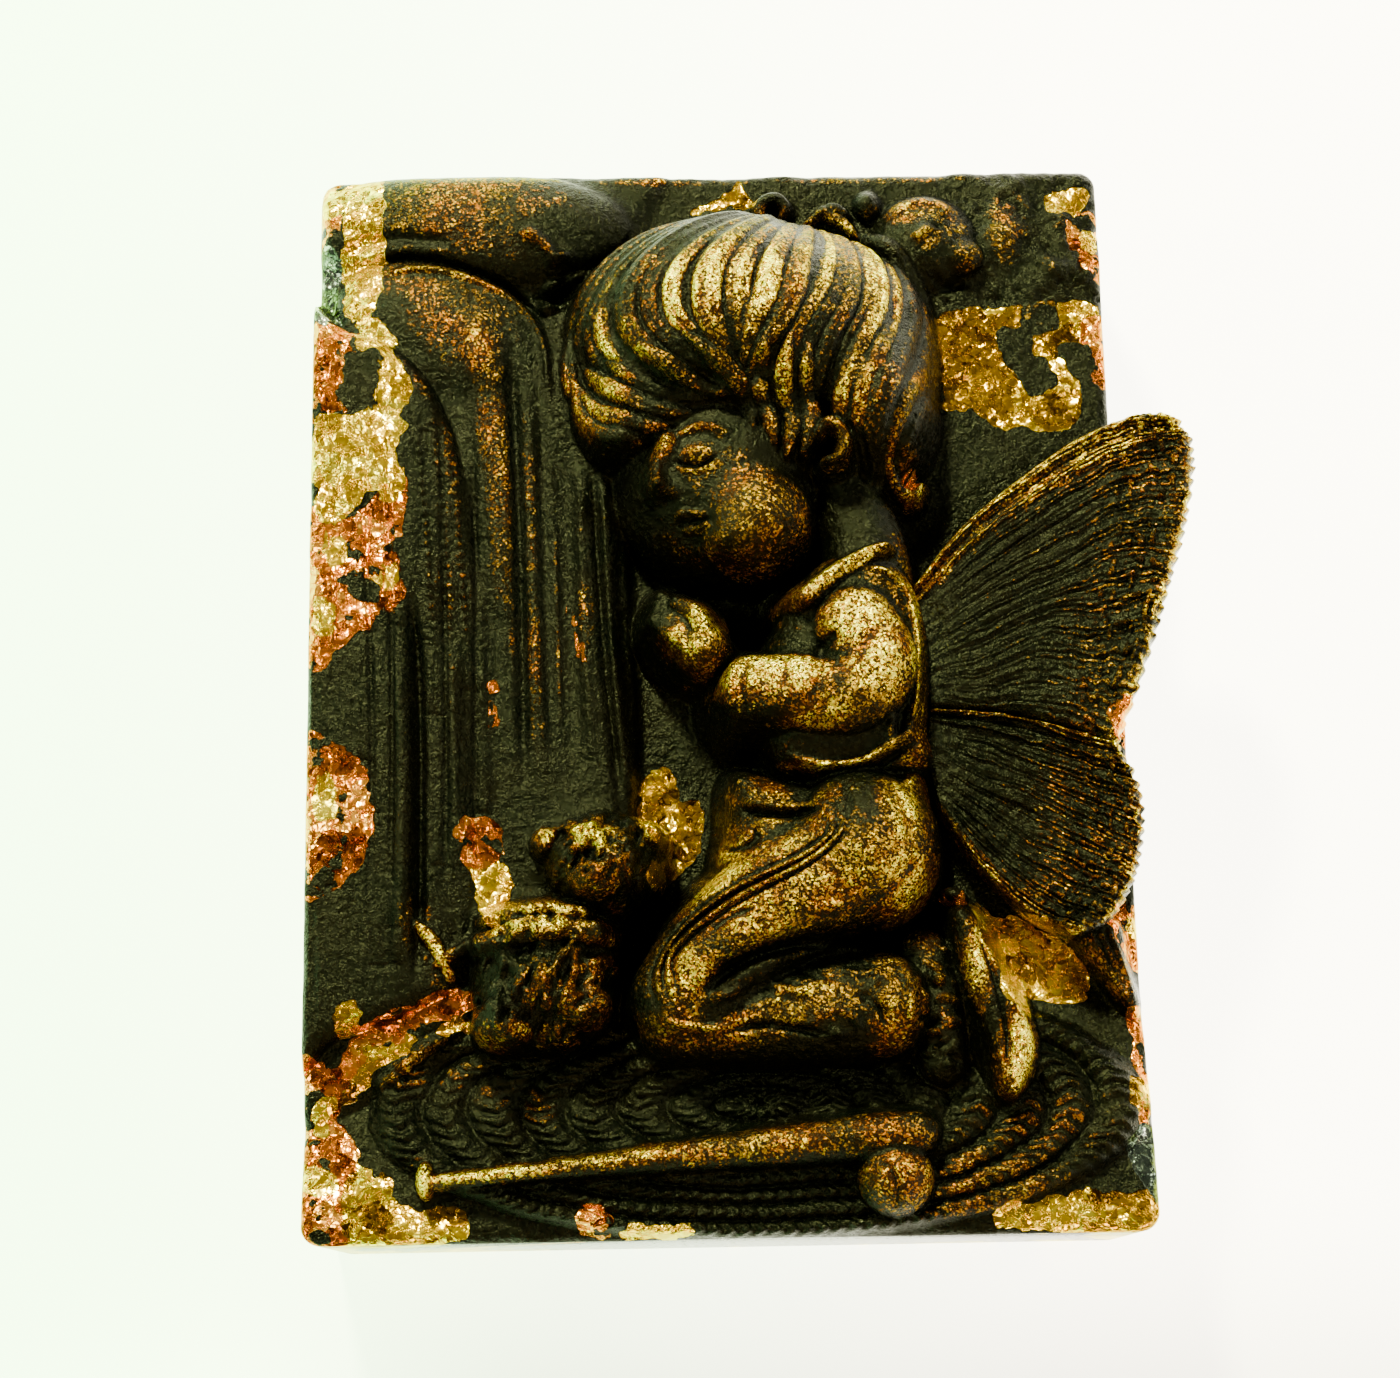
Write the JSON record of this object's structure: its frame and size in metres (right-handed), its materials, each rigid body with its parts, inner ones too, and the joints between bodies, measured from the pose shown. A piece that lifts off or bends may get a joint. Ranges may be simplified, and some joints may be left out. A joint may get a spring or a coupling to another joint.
{
  "type": "angel bas-relief",
  "caption": "Small rectangular casting with a relief of a kneeling child with butterfly wings, a bed, a toy bear, a rug, a bat and a ball.",
  "frame": {"origin": "middle of the block's flat back", "axes": "+Z out of the relief, +Y up in the picture, +X to the right; the block lies on its back"},
  "size_m": [0.0746, 0.092, 0.0289],
  "materials": {
    "black_gold_patina": "satin black paint rubbed with gold, with patches of gold, copper and silver leaf"
  },
  "bodies": {
    "root": {"angel_relief": "black_gold_patina"}
  },
  "joints": []
}
